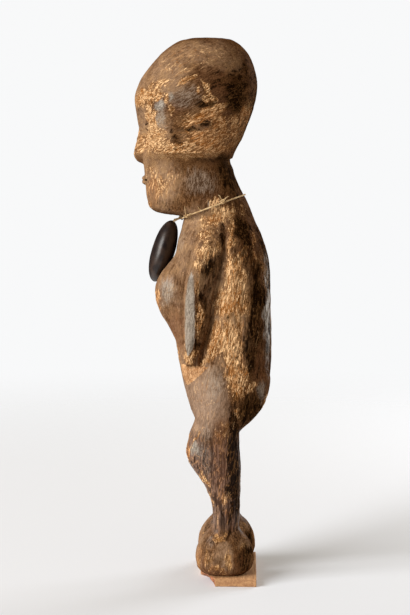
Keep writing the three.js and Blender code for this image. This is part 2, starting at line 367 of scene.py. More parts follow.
def twine(path, thickness, ply, sides, taper=None):
    # A profile carried along the path: radius = half thickness * sqrt(0.45 + 0.55 cos^2) of the angle,
    # which turns once for every two plies, so two strands seem to wind round each other
    ahead = np.gradient(path, axis=0)
    ahead /= np.linalg.norm(ahead, axis=1, keepdims=True)
    helper = np.where(np.abs(ahead[:, 2:]) > 0.85, [[1.0, 0, 0]], [[0, 0, 1.0]])
    across = np.cross(ahead, helper)
    across /= np.linalg.norm(across, axis=1, keepdims=True)
    upward = np.cross(across, ahead)
    run = np.concatenate([[0], np.cumsum(np.linalg.norm(np.diff(path, axis=0), axis=1))])
    angle = np.linspace(0, 2 * np.pi, sides, endpoint=False)[None, :]
    lobes = np.sqrt(0.45 + 0.55 * np.cos(angle - np.pi * run[:, None] / ply) ** 2)
    width = np.ones(len(path)) if taper is None else taper(run / run[-1])
    radius = (thickness / 2 * lobes * width[:, None])[..., None]
    ring = np.sin(angle)[..., None] * upward[:, None, :] - np.cos(angle)[..., None] * across[:, None, :]
    return closedGrid(path[:, None, :] + radius * ring)


stringPath = smoothPath(string["route"], string["step"])
neckString = meshObject(
    "neck_twine", *twine(stringPath, string["thickness"], string["ply"], string["sides"]))
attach(neckString, "root")
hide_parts("neck_string")


# The carving. The tables hold pairs of a height and a place or a size there
figure = {
    "bodyFront": [
        (106, -6), (112, -17), (119, -25), (135, -30.5), (150, -34.5), (168, -38), (190, -41), (207, -42),
        (225, -41.2), (241, -39.4), (253, -37.6), (262, -35), (270, -33.6), (272, -46),
        (274, -55), (278, -59.5), (298, -62), (320, -64), (345, -68), (356, -69.3),
        (368, -65.8), (378, -59), (388, -50), (395, -41.5), (398.6, -34), (400, -25)],
    "bodyBack": [
        (106, 0), (111, 5), (118, 11), (126, 18.5), (136, 25.5), (150, 30.6), (175, 31.8),
        (212, 31), (235, 30), (250, 26.3), (266, 19.6), (280, 13.8), (292, 7.8), (304, 3.2),
        (311, 2.4), (315, 3.4), (328, 9.6), (342, 15.2), (356, 19.6), (366, 20.6),
        (378, 18.6), (387, 15), (394, 8.8), (398.6, 1), (400, -9)],
    "bodyHalfWidth": [
        (106, 9), (112, 20), (120, 29), (130, 34.5), (142, 36.5), (152, 36.4), (172, 34), (195, 33),
        (225, 34.5), (244, 35), (256, 32), (264, 27), (271, 23.8), (275, 24.6),
        (300, 25.2), (311, 26.6), (315, 28.6), (330, 33), (348, 36), (364, 36.5),
        (378, 33.5), (388, 28), (395, 20.4), (398.6, 12.5), (400, 4)],
    "bodyWidest": [
        (106, -4), (118, -3), (136, 0), (175, 0), (212, -1), (240, -4), (262, -9), (284, -14), (310, -22),
        (350, -23), (400, -17)],
    "frontFullness": [
        (106, 2.2), (150, 2.4), (200, 2.5), (245, 2.9), (262, 2.4), (272, 2.1), (340, 2.2)],
    "backFullness": [(106, 2.2), (150, 2.3), (230, 2.2), (262, 2.1), (340, 2.1)],
    "legFront": [
        (26, -9.5), (42, -10.8), (52, -11.6), (61, -13), (69, -16), (82, -24), (91, -30), (97.5, -31.5),
        (104, -30.3), (114, -26.5), (124, -24.5), (166, -16)],
    "legBack": [
        (26, 6), (48, 8.2), (62, 9), (80, 9), (96, 8), (111, 7.8), (115, 10.5), (120, 16.3), (127, 22.8),
        (134, 26.8), (142, 29.4), (150, 30.6), (158, 29.4), (166, 24)],
    "legHalfWidth": [
        (26, 8.8), (48, 9.4), (62, 10), (80, 11.8), (97, 13.6), (112, 15.2), (126, 17.4), (146, 17),
        (158, 14.5), (166, 10)],
    "legMiddle": [(26, 18.5), (62, 18), (97, 17.2), (126, 17.2), (166, 17)],
    "footShare": [
        (6.5, 0.72), (10.5, 0.92), (17, 1), (24, 0.97), (30, 0.87), (35, 0.72), (39.5, 0.54),
        (43, 0.42)],
    "legRings": (26, 166.1, 1), "legWidest": -2, "legFullness": (2.2, 2.3),
    "footHalfLength": 22, "footHalfWidth": 15.5, "footSide": 18.5, "footMiddle": {1: -2.5, -1: -1.8},
    "footUnderside": 6.8, "footTop": 43,
    "armMiddle": [
        (158, -26.3), (172, -25.8), (190, -23.7), (211, -21.8), (226, -19.2), (240, -15.8), (262, -10)],
    "armOut": [
        (158, 25.5), (175, 27), (190, 28), (211, 29.5), (226, 30.5), (245, 30.5), (256, 27), (268, 20)],
    "armHalfLength": [
        (158, 4.7), (168, 5.3), (182, 7.4), (197, 9.5), (211, 10.3), (226, 10.8), (240, 10), (268, 8)],
    "armProud": [(158, 5.4), (175, 6.2), (197, 7.2), (226, 8), (248, 8), (258, 6.4), (268, 4)],
    "armFullness": (2.8, 3.4), "armRoof": 0.42, "stump": 162,
    "facetMiddle": [(170, -29), (177, -28), (190, -27.7), (204, -27.5), (218, -27.1), (232, -26.2)],
    "facetHalf": [
        (169, 0), (172, 1.4), (177, 2.9), (182, 3.6), (190, 3.9), (204, 3.8), (211, 3.6), (218, 3),
        (226, 2.2), (231, 0.5), (233, 0)],
    "facetSlope": 0.32, "facetReach": (200, 34), "facetEnds": (166, 234), "facetBeyond": 24,
    "breast": {"side": 16.5, "height": 217, "proud": 14.5, "radius": 20, "above": 30, "below": 44},
    "groove": {"top": 268, "out": 3.5, "halfWidth": 5, "depth": 5.6, "behind": -0.5, "fade": 26,
               "roundness": 0.75},
    "grooveSlope": [(162, 4.5), (175, 7), (198, 10.5), (222, 11), (245, 7), (262, 5)],
    "ledge": {"corner": -14.5, "rise": 0.95, "reach": 11, "proud": 3, "beyond": 16, "low": (140, 146)},
    "bodyRings": [(106, 262, 0.9), (262, 284, 0.45), (284, 392, 0.7)], "topRings": 26, "top": 400,
    "voxel": 0.8, "triangles": 192000,
    # Rounds and share of the evening everywhere, and of the melting where forms join
    "evening": (3, 0.5), "melting": (26, 0.55),
    "meltHips": (128, 26), "meltAnkles": (42, 9), "meltTop": (382, 396),
    "meltNeck": (266, 9), "neckShare": 0.4, "behindChest": -30,
}

# The face: two hollows beside a slim nose under arched brows, long closed eyes and a small mouth
face = {
    "eyeHeight": 336, "eyeSide": 14.5, "eyeFront": -56.5, "eye": (7.5, 4, 2.8), "eyeLean": -0.12,
    "hollowFront": -70, "hollowHeight": 329, "hollow": (13, 13, 22), "hollowLean": 0.2,
    "mouthFront": -58.5, "mouthHeight": 297, "mouth": (8.5, 5.5, 3),
    "lids": (9, 4.2), "lips": (9.5, 3.6), "proud": 1.3, "lineWidth": 0.8, "lineDepth": 1.3,
    "noseFront": [(308, -61), (311, -68), (316, -70.5), (326, -68.5), (338, -66.5), (352, -67)],
    "noseBack": -58, "noseRings": (308, 352.1, 1.1), "ahead": 12, "low": 270,
    "noseHalfWidth": [(308, 3.2), (312, 5.2), (318, 4.8), (328, 3.4), (338, 2.6), (352, 2.2)],
}


def section(angle, front, back, halfWidth, widest, frontPower, backPower):
    # A closed curve round each height, fuller than an ellipse where its power is over 2. Angle 0 is the
    # front: x = half width * sin^(2/power), y = widest + reach * -cos^(2/power)
    toSide, toBack = np.sin(angle), -np.cos(angle)
    reach = np.where(toBack > 0, back - widest, widest - front)
    power = np.where(toBack > 0, backPower, frontPower)
    x = halfWidth * np.sign(toSide) * np.abs(toSide) ** (2 / power)
    y = widest + reach * np.sign(toBack) * np.abs(toBack) ** (2 / power)
    return x, y


def gridOf(heights, sides):
    # The angle and the height of each point, a ring of points at each height
    angle = np.linspace(0, 2 * np.pi, sides, endpoint=False)
    return np.meshgrid(angle, np.asarray(heights, float))


def eggFront(x, z, middle, half, lean):
    # How far an egg's near side stands before its middle at each x and z, and where it lies at all
    across, up = turned(x - middle[0], z - middle[1], lean)
    left = 1 - (across / half[0]) ** 2 - (up / half[2]) ** 2
    return half[1] * np.sqrt(np.clip(left, 0, 1)), left > 0


def breastRelief(x, z):
    # proud * (1 - distance squared) squared, with the distance in radii
    b = figure["breast"]
    across = (np.abs(x) - b["side"]) / b["radius"]
    up = (z - b["height"]) / np.where(z > b["height"], b["above"], b["below"])
    return b["proud"] * np.clip(1 - across ** 2 - up ** 2, 0, 1) ** 2


def grooved(x, y, z):
    # The groove behind each arm: the side is no further out than a floor, which lies deeper by
    # depth * (1 - distance from the middle) ^ roundness, and less deep near the groove's top
    f, g = figure, figure["groove"]
    fade = np.clip(0.15 + (g["top"] - z) / g["fade"], 0, 1)
    middle = along(f["armMiddle"], z) + along(f["armHalfLength"], z) + g["behind"]
    wide = np.where(y > middle, along(f["grooveSlope"], z), g["halfWidth"])
    share = 1 - np.abs(y - middle) / (wide * np.maximum(fade, 0.05))
    floor = along(f["armOut"], z) + g["out"] - g["depth"] * fade * np.clip(share, 0, 1) ** g["roundness"]
    cut = (share > 0) & (z > f["stump"]) & (z < g["top"])
    return np.where(cut, np.sign(x) * np.minimum(np.abs(x), floor), x)


def overLedge(y, z):
    # Height over the lower edge of the hip's cut ledge, a line that rises to the back
    return z - (figure["stump"] + figure["ledge"]["rise"] * (y - figure["ledge"]["corner"]))


def facedFront(x, y, z, ahead):
    # Hollows pushed into the face, then the closed eyes and the mouth raised on it
    def egg(name, side, lean=0):
        middle = (side * face["eyeSide"], face[name + "Height"])
        reach, inside = eggFront(x, z, middle, face[name], side * lean)
        return reach, ahead & inside

    for side in (-1, 1):
        reach, inside = egg("hollow", side, face["hollowLean"])
        y = np.where(inside, np.maximum(y, face["hollowFront"] + reach), y)
    for name, side, lean in (("eye", -1, face["eyeLean"]), ("eye", 1, face["eyeLean"]), ("mouth", 0, 0)):
        reach, inside = egg(name, side, lean)
        y = np.where(inside, np.minimum(y, face[name + "Front"] - reach), y)
    return y


def carvedBody():
    # Sections from the crotch to the top of the head, then breasts, grooves, ledges and face
    f = figure
    rings = [np.arange(*band) for band in f["bodyRings"]]
    rings.append(f["top"] - (f["top"] - f["bodyRings"][-1][1]) * np.linspace(1, 0, f["topRings"]) ** 1.6)
    angle, z = gridOf(np.concatenate(rings), 420)
    widest = along(f["bodyWidest"], z)
    x, y = section(angle, along(f["bodyFront"], z), along(f["bodyBack"], z), along(f["bodyHalfWidth"], z),
                   widest, along(f["frontFullness"], z), along(f["backFullness"], z))
    y = np.where(y < widest, y - breastRelief(x, z), y)
    x = grooved(x, y, z)
    proud = f["ledge"]["proud"] * np.clip(overLedge(y, z) / f["ledge"]["reach"], 0, 1)
    x = x + np.sign(x) * np.where((np.abs(x) > f["ledge"]["beyond"]) & (z < f["stump"] - 0.2), proud, 0)
    y = facedFront(x, y, z, (y < widest - face["ahead"]) & (z > face["low"]))
    return x, y, z


def carvedNose():
    # Half an ellipse at each height, x = half width * sin and y = back + (front - back) * cos
    angle, z = gridOf(np.arange(*face["noseRings"]), 40)
    x = along(face["noseHalfWidth"], z) * np.sin(angle)
    y = face["noseBack"] + (along(face["noseFront"], z) - face["noseBack"]) * np.cos(angle)
    return x, y, z


def carvedLeg(side):
    # A section at each height, from inside the foot to inside the hip, its middle moved to the side
    f = figure
    angle, z = gridOf(np.arange(*f["legRings"]), 90)
    x, y = section(angle, along(f["legFront"], z), along(f["legBack"], z), along(f["legHalfWidth"], z),
                   np.full_like(z, f["legWidest"]), *f["legFullness"])
    return x + side * along(f["legMiddle"], z), y, z


def carvedFoot(side):
    # A dome: an ellipse at each height, whose share of the full size follows the table
    f = figure
    angle, z = gridOf(np.linspace(f["footUnderside"], f["footTop"], 46), 120)
    share = along(f["footShare"], z)
    x = side * f["footSide"] + f["footHalfWidth"] * share * np.sin(angle)
    y = f["footMiddle"][side] - f["footHalfLength"] * share * np.cos(angle)
    return x, y, z


def carvedArm(side):
    # A superellipse with a steep rear edge, its outer face a roof that falls away behind a ridge line,
    # and a planed facet before the ridge
    f = figure
    angle, z = gridOf(np.arange(f["stump"], f["groove"]["top"] + 0.1, 0.9), 120)
    outward, behind = section(angle, -1, 1, 1, 0, *f["armFullness"])
    proud = along(f["armProud"], z) * (1 - f["armRoof"] * np.clip(behind + 0.12, 0, 1))
    x = side * along(f["armOut"], z) + proud * outward
    y = along(f["armMiddle"], z) + along(f["armHalfLength"], z) * behind
    planed = np.clip(along(f["facetMiddle"], z) + along(f["facetHalf"], z) - y, 0, 10)
    x = x - side * f["facetSlope"] * planed * bell(z, *f["facetReach"])
    return x, y, z


def fusedFigure():
    # The forms run into each other, so the remesh makes one skin of them
    forms = [carvedBody(), carvedNose()]
    for side in (-1, 1):
        forms += [carvedLeg(side), carvedFoot(side), carvedArm(side)]
    made = meshObject("carved_figure", *joined([closedGrid(np.stack(form, -1)) for form in forms]))
    return modified(made, REMESH={"mode": "VOXEL", "voxel_size": figure["voxel"] * mm})


def edgesOf(mesh):
    flat = np.zeros(len(mesh.edges) * 2, np.int32)
    mesh.edges.foreach_get("vertices", flat)
    return flat.reshape(-1, 2)


def softened(mesh):
    # The remesh's steps are evened out everywhere, and the joins of legs, feet, neck and crown melt further
    f, points, edges = figure, pointsOf(mesh), edgesOf(mesh)
    z = points[:, 2]
    rounds, share = f["evening"]
    points = evened(points, edges, rounds, np.full(len(points), share))
    neck = f["neckShare"] * bell(z, *f["meltNeck"]) * (points[:, 1] > f["behindChest"])
    melt = np.maximum.reduce([
        bell(z, *f["meltHips"]), bell(z, *f["meltAnkles"]), ramp(z, *f["meltTop"]), neck])
    rounds, share = f["melting"]
    movePoints(mesh, evened(points, edges, rounds, share * melt))


# Patina. Each patch is (y or x, height, half width, half height, strength, turn in degrees if turned)
patina = {
    "bare": [
        # Brow
        (-61, 356, 5.7, 5, 1), (-53, 356, 5.7, 4.6, 1, 15), (-51, 363, 9.3, 5, 0.55, 25),
        (-57, 344, 2.3, 7.8, 1), (-53, 340, 2, 6.4, 1, -5), (-56, 335, 5, 2.9, 0.8),
        # Cheek
        (-54, 325, 10, 10.7, 0.72), (-66, 323, 3.6, 8.6, 0.55), (-43, 317, 9.3, 5.7, 0.75, 20),
        # Pale band on the side of the head
        (-17, 342, 17.8, 4.6, 1, 20), (-7, 337, 5.7, 10, 0.7), (-17, 325, 18.5, 7.1, 0.72, 18),
        (-9, 319, 12.1, 6.4, 0.66, 5), (-32, 319, 9.3, 4.3, 0.7, 32), (-23, 331, 11.4, 2.1, 0.6, 8),
        (-25, 314, 10.7, 2.5, 0.75, 5), (0, 310, 2.2, 1.8, 0.7),
        # Jaw
        (-56, 305, 7.2, 6.5, 0.35), (-52, 292, 10.1, 11.5, 0.4), (-41, 297, 6.5, 10.1, 0.22),
        # Chips above the band
        (-28, 367, 7.1, 2.1, 1, 22), (-17, 362, 1.4, 3.9, 1, 30), (-14, 360, 1.6, 4.3, 1, 25),
        (-12, 354, 2.4, 3.6, 1, 40), (-17, 354, 1.4, 2.9, 0.9), (-22, 359, 1.6, 3.2, 0.8, -10),
        (-45, 354, 1.4, 3.6, 0.7, -10), (-41, 346, 2.9, 5, 0.5, 15),
        # Crown
        (-36, 382, 15.7, 8.6, 0.2, 35), (-17, 386, 17.1, 6.4, 0.2), (-26, 374, 15.7, 3.6, 0.22, 20),
        # Back of the head
        (12, 340, 3.6, 14.3, 0.8, -12), (4, 333, 5, 14.3, 0.6, -8),
        # Shoulder and upper arm
        (-9, 280, 6.5, 3.6, 0.6), (-4, 273, 10, 6.4, 0.78, -10), (-12, 267, 8.6, 5.7, 0.6),
        (-17, 259, 8.6, 5, 0.45, 25), (-14, 247, 8.6, 7.1, 0.66, 20), (-22, 236, 4.3, 6.4, 0.45),
        # Behind the shoulder
        (2, 254, 2.1, 12.9, 0.9, -3), (11, 245, 3.6, 5, 1, -30), (18, 243, 2.9, 4.3, 1),
        (18, 254, 2.1, 5.7, 0.6), (9, 274, 4.3, 6.4, 0.35, -20),
        # Streaks down the side
        (4, 229, 7.1, 14.3, 0.9), (3, 209, 13.6, 11.4, 0.95), (-2, 184, 10.7, 11.4, 0.95, -12),
        (7, 186, 4.3, 14.3, 0.6), (-10, 174, 5.7, 6.4, 0.75, -25), (3, 172, 7.8, 10, 0.92, 15),
        # Back of the hip
        (7, 153, 8.5, 12.8, 0.86), (21, 179, 1.1, 11.4, 0.55, -4),
        # Arm and ledge
        (-27, 170, 6.4, 5.7, 1), (-32, 180, 1.1, 5.7, 0.6), (-17, 167, 2.8, 3.6, 1, -20),
        (-21, 199, 2.9, 9.3, 1, -4), (-20, 189, 1.1, 4.3, 0.7, -8), (-22, 219, 2.1, 5.7, 0.5),
        # Buttock and thigh
        (18, 147, 2.6, 3.3, 0.9, -30), (6, 130, 2.8, 2.4, 0.85), (4, 122, 1.1, 5.7, 0.55, -4),
        (-4, 114, 7.2, 6.5, 0.35, -10),
        # Knee, shin and calf
        (-29, 98, 1.4, 5, 0.6, -10), (-23, 109, 6.5, 1.2, 0.55, 56), (-17, 78, 2.2, 7.2, 0.8, 30),
        (-12, 65, 1.4, 6.5, 0.6, 12), (-4, 64, 2.9, 5.8, 0.5, -15), (1, 66, 2.2, 4.3, 0.5),
        (-8, 49, 1.4, 7.9, 0.2), (0, 52, 1.4, 8.6, 0.4),
        # Foot
        (-5, 35, 5.8, 2.6, 0.65), (-17, 21, 7.2, 7.2, 0.34), (-9, 11, 12.2, 2.9, 0.42),
        (0, 20, 2.2, 7.2, 0.65), (10, 30, 2.9, 5, 0.4, -30)],
    # Soot and dark patina, with painted shade where the figure turns from the light or lies in a crease or
    # groove
    "soot": [
        # Head: dark marks, and painted shade on the back of the head
        (5, 358, 8.6, 18.5, 0.85, -10), (12, 368, 5.7, 18.5, 0.6), (-16, 349, 8.6, 3.6, 0.75, 8),
        (-26, 354, 7.1, 5, 0.2), (-6, 367, 10, 8.6, 0.45), (-27, 333, 7.8, 1.7, 1, 4),
        (-17, 336, 5.7, 2.1, 1, -8), (-39, 329, 2.9, 8.6, 0.6, 32),
        # Nape and jaw: painted shadow in the crease under the head and under the jaw
        (1, 302, 6.5, 18.7, 0.85, 14), (-12, 311, 14.3, 1.4, 0.6, 3), (-4, 313, 5, 2.9, 0.95),
        (-46, 280, 11.5, 2.2, 0.5, -5), (5, 323, 4.3, 10, 0.55, -12),
        # Back: dark patina, and painted shade where the back turns from the light
        (10, 261, 5, 11.4, 1, 25), (14, 247, 5, 10, 1), (21, 202, 5.7, 42.9, 0.78),
        (16, 174, 5, 21.4, 0.75), (12, 179, 2.1, 10, 0.7),
        # Groove and arm: painted shade in the groove behind each arm and under its end
        (-4, 255, 2.1, 10, 0.8, -8), (-9, 233, 2.9, 15.7, 0.6, -14), (-16, 198, 1.4, 18.6, 0.35, -14),
        (-15, 234, 5.7, 7.1, 0.75, -20), (-18, 215, 2.9, 7.9, 0.9), (-22, 181, 2.1, 5, 0.9, -10),
        # Side
        (3, 199, 5, 2.4, 0.6, 20), (7, 167, 2.1, 2.8, 0.6),
        # Buttock and back of the leg: dark patina, and painted shade where they turn from the light
        (16, 132, 11.4, 12.8, 0.9, 20), (1, 127, 2.4, 4.3, 0.85), (5, 90, 6.8, 50.3, 1),
        (-4, 101, 5, 24.5, 0.35), (3, 56, 3.6, 18.7, 0.75),
        # Ankle and foot
        (-4, 53, 1.4, 3.6, 0.85), (-10, 57, 2.2, 10.1, 0.45), (1, 36, 1.3, 5.8, 0.95),
        (13, 21, 6.5, 12.9, 0.7), (7, 27, 2.2, 5.8, 0.25), (-15, 32, 5, 2.9, 0.4, 30)],
    # Polished patina, glossier, and painted pale grey as sheen and highlights: on the brow, the chest, the
    # back's rim, the hip and the knee
    "polishAndPaintedSheen": [
        # Head and neck
        (-49, 349, 3.2, 4.3, 0.95), (-48, 339, 3.2, 7.1, 0.65, 8), (-41, 356, 2.6, 3.2, 0.95),
        (-30, 354, 12.8, 8.6, 0.45), (-21, 295, 12.3, 11.5, 0.45),
        # Torso
        (-45, 215, 7.1, 9.3, 0.7), (-37, 254, 6.4, 10, 0.35), (-9, 151, 7.8, 14.2, 0.45),
        (29, 204, 3.2, 42.9, 0.85), (-12, 277, 3.6, 2.6, 0.6),
        # Buttock, legs and foot
        (-24, 103, 3.6, 4.3, 0.95), (-20, 99, 5.8, 5.8, 0.5), (24, 145, 3.6, 8.5, 0.6),
        (-16, 114, 4.3, 7.2, 0.35), (-15, 93, 4.3, 11.5, 0.3), (-14, 32, 5, 2.9, 0.25, 30)],
    "dust": [
        # Head, chest and arm
        (-43, 372, 17.1, 18.5, 0.8), (-22, 386, 25.7, 10, 0.7), (0, 380, 10, 8.6, 0.5),
        (-49, 295, 14.4, 18.7, 0.95), (-52, 328, 11.4, 17.1, 0.85), (-65, 335, 6.4, 21.4, 0.85),
        (-16, 330, 18.5, 17.1, 0.5), (-20, 268, 18.6, 10, 0.9), (-35, 247, 14.3, 24.3, 0.62),
        (-46, 218, 10, 14.3, 0.75), (-15, 247, 11.4, 11.4, 0.6),
        # Torso, legs and foot
        (-16, 140, 14.9, 24.9, 0.92), (-36, 189, 10, 31.5, 0.62), (1, 200, 14.3, 47.2, 0.8),
        (-25, 102, 7.2, 11.5, 0.5), (-15, 20, 11.5, 12.9, 0.35), (-3, 24, 6.5, 12.9, 0.7),
        (-21, 118, 5.7, 11.4, 0.8), (-23, 231, 8.6, 14.3, 0.6), (11, 33, 5, 4.3, 0.5, -40)],
    "warm": [
        (-38, 188, 6.4, 19.3, 0.9), (-51, 211, 2.9, 12.9, 0.7), (14, 332, 5.7, 15.7, 0.8, 10),
        (-2, 365, 8.6, 10, 0.4), (15, 247, 5.7, 10, 0.7), (21, 168, 2.8, 21.4, 0.5),
        (-30, 99, 2.2, 6.5, 1), (-22, 16, 5.8, 10.1, 0.6), (-55, 288, 4.3, 10.1, 0.7),
        (24, 160, 2.8, 11.4, 0.6), (-5, 92, 7.2, 28.8, 0.7), (2, 50, 3.6, 11.5, 0.8),
        (-9, 9, 12.9, 3.6, 0.7), (9, 18, 5.8, 8.6, 0.6), (-7, 329, 20, 20, 0.45)],
    "frontBare": [
        # Nose and brows
        (0, 330, 3, 17, 0.7), (15, 353, 11, 4, 0.7, -10), (-16, 352, 10, 4, 0.6, 10),
        # Throat, breasts and belly
        (0, 278, 12, 4, 0.6), (17, 212, 7, 8, 0.6), (-16, 211, 6, 7, 0.7), (6, 168, 12, 10, 0.5, 20),
        # Knees and shins
        (17, 96, 6, 8, 0.8), (-17, 97, 6, 7, 0.7), (18, 72, 4, 13, 0.6), (-18, 70, 4, 12, 0.7),
        # Feet
        (19, 15, 10, 7, 0.6), (-19, 14, 9, 7, 0.6),
        # Cheeks
        (-20, 300, 6, 14, 0.5), (20, 304, 6, 12, 0.6)],
    # Painted shade in the eye hollows, under the chin, between the breasts, beside an arm and between the
    # thighs
    "frontSootAndPaintedShade": [
        (15, 322, 6, 12, 0.35), (-15, 322, 6, 12, 0.35), (0, 222, 5, 14, 0.6), (0, 113, 9, 9, 0.8),
        (0, 262, 14, 6, 0.5), (-24, 185, 5, 16, 0.5, 10)],
    "backBare": [
        (10, 328, 14, 7, 0.5, 10), (-18, 240, 6, 18, 0.5), (17, 232, 5, 16, 0.45), (3, 196, 5, 34, 0.4),
        (17, 137, 10, 8, 0.5), (-17, 135, 9, 8, 0.5), (18, 66, 4, 14, 0.4), (-18, 72, 4, 12, 0.5),
        (-19, 20, 8, 8, 0.4), (-6, 384, 14, 8, 0.35, 20)],
    # Dark patina, and painted shade over the back, which faces away from the light
    "backSootAndPaintedShade": [
        (0, 345, 30, 40, 0.7), (0, 300, 24, 18, 0.8), (0, 235, 24, 40, 0.75), (-14, 170, 12, 30, 0.6),
        (15, 175, 9, 30, 0.6), (0, 122, 12, 14, 0.9), (18, 90, 8, 24, 0.6), (-18, 90, 8, 24, 0.6)],
}


def patches(across, height, rows):
    # The strongest of several ellipses at each point, each full to 0.4 of its radius and gone at 1.5
    total = np.zeros(len(across))
    for middle, level, halfWidth, halfHeight, strength, *turn in rows:
        aside, up = turned(across - middle, height - level, -math.radians(sum(turn)))
        far = np.hypot(aside / halfWidth, up / halfHeight)
        total = np.maximum(total, strength * ramp(far, 1.5, 0.4))
    return total


def farSide(rows):
    # The same wear on the other side, each patch moved and weakened a little
    shift = np.random.default_rng(5).normal(size=(len(rows), 3))
    return [(a + 4 * p, b + 5 * q, c, d, e * (0.85 + 0.15 * math.tanh(r)), -sum(turn))
            for (a, b, c, d, e, *turn), (p, q, r) in zip(rows, shift)]


def cutFaces(points):
    # The two smooth cuts at each arm: the leaf-shaped facet on it and the ledge under its end
    f, side, y, z = figure, np.abs(points[:, 0]), points[:, 1], points[:, 2]
    rough = 0.4 * cloud(points, (2, 2, 6), 33)
    leaf = ramp(along(f["facetHalf"], z) - np.abs(y - along(f["facetMiddle"], z)) + rough, -0.6, 0.8)
    low, high = f["facetEnds"]
    leaf = 0.9 * leaf * (side > f["facetBeyond"]) * (z > low) * (z < high)
    under = ramp(z, f["stump"] + 1.5, f["stump"] - 0.5) * ramp(z, *f["ledge"]["low"])
    return leaf, ramp(overLedge(y, z), -0.5, 0.6) * under * (side > f["ledge"]["beyond"] + 2)


def faceForms(points):
    # The lids and the lips as almonds, the square root of 1 - u^2 - v^2, and the line that parts each
    x, y, z = points.T
    fromEye = np.abs(x) - face["eyeSide"]
    lid = z - face["eyeHeight"] + face["eyeLean"] * fromEye
    almonds, lines = [], []
    for across, up, half in ((fromEye, lid, face["lids"]), (x, z - face["mouthHeight"], face["lips"])):
        left = 1 - (across / half[0]) ** 2 - (up / half[1]) ** 2
        almonds.append(np.sqrt(np.clip(left, 0, 1)))
        lines.append(ridge(up, face["lineWidth"]) * ramp(left, 0.0, 0.3))
    ahead = ramp(-y, 50, 54)
    return np.maximum(*almonds) * ahead, np.maximum(*lines) * ahead


# How far noise pushes the patches' edges, each as (size, reach), and where the neck parts the two grains
wear = {"jogs": [(9, 2.6), (3.5, 1.1)], "grainJog": ((2.4, 2.4, 10), 4.5), "neck": (306, 316)}


def wearFields(points, normals):
    # Where the patina is gone, sooty or darkened by painted shade, polished or lightened by painted sheen,
    # dusty or reddish, and where the wood is planed
    jogs = [sum(reach * cloud(points, size, axis + 9 * k) for k, (size, reach) in enumerate(wear["jogs"]))
            for axis in range(3)]
    jog = np.stack(jogs, 1)
    size, reach = wear["grainJog"]
    jog[:, 2] += ramp(points[:, 2], *wear["neck"][::-1]) * reach * cloud(points, size, 31)
    x, y, z = (points + jog).T
    left, right = ramp(normals[:, 0], 0.0, 0.35), ramp(-normals[:, 0], 0.0, 0.35)
    front, back = ramp(-normals[:, 1], 0.45, 0.85), ramp(normals[:, 1], 0.45, 0.85)
    fields = {}
    for name in ("bare", "soot", "polishAndPaintedSheen", "dust", "warm"):
        near, far = patches(y, z, patina[name]), patches(y, z, farSide(patina[name]))
        fields[name] = np.maximum(left * near, right * far)
    for name, other in (("bare", "Bare"), ("soot", "SootAndPaintedShade")):
        for facing, where in ((front, "front"), (back, "back")):
            fields[name] = np.maximum(fields[name], facing * patches(x, z, patina[where + other]))
    fields["dust"] = np.maximum(fields["dust"], front * 0.7)
    leaf, ledge = cutFaces(points)
    almonds, lines = faceForms(points)
    fields["bare"] = np.maximum(fields["bare"] * (1 - leaf), ledge)
    fields["bare"] *= 1 - np.maximum(lines, 0.8 * (almonds > 0))
    # The lines of the lids and lips are darkened as painted shade in their cuts
    fields["soot"] = np.maximum(fields["soot"] * (1 - leaf) * (1 - ledge), lines)
    # The arm's facet is painted the pale grey of sheen, standing for the light its flat face reflects
    fields["polishAndPaintedSheen"] = np.maximum(fields["polishAndPaintedSheen"], leaf)
    fields["planed"] = np.maximum(leaf, ledge)
    return fields


def strokes(points):
    # Short cuts of the blade: thin long noise, up the grain on the body and slanting on the head
    x, y, z = points.T

    def cuts(degrees, size, shift):
        return cloud(np.stack([x, *turned(y, z, math.radians(degrees))], 1), size, shift)

    upward = cuts(14, (2, 2, 7), 0) + 0.6 * cuts(20, (1.4, 1.4, 5), 3)
    slanting = cuts(-30, (3, 7, 1.9), 5) + 0.6 * cuts(-18, (2, 5, 1.4), 6)
    head = ramp(z, *wear["neck"])
    return (upward * (1 - head) + slanting * head) * (1 - 0.8 * np.maximum(*cutFaces(points)))


# The blade's marks, in millimetres
relief = {
    "waves": [(15, 0.4), (6, 0.18)],  # how far apart the blade's slow waves are, and how high
    "bareSunk": 0.2, "bareStrokes": 0.5, "bareChips": 0.25, "coveredStrokes": 0.1,
    # Lines: height, width, the middle and the reach of the stretch they run over, how far out they begin
    "armLine": (-1.1, 1.1, 200, 42, 20), "footNotch": (-1.3, 1.2, 45, 9, 18),
    "kneeRidge": (0.7, 1.6, 112, 14, 12),
    "neckCut": 1.7, "neckCutTop": 312.6, "neckCutUneven": 1.3, "crack": 0.7, "faceCalm": 0.75,
}


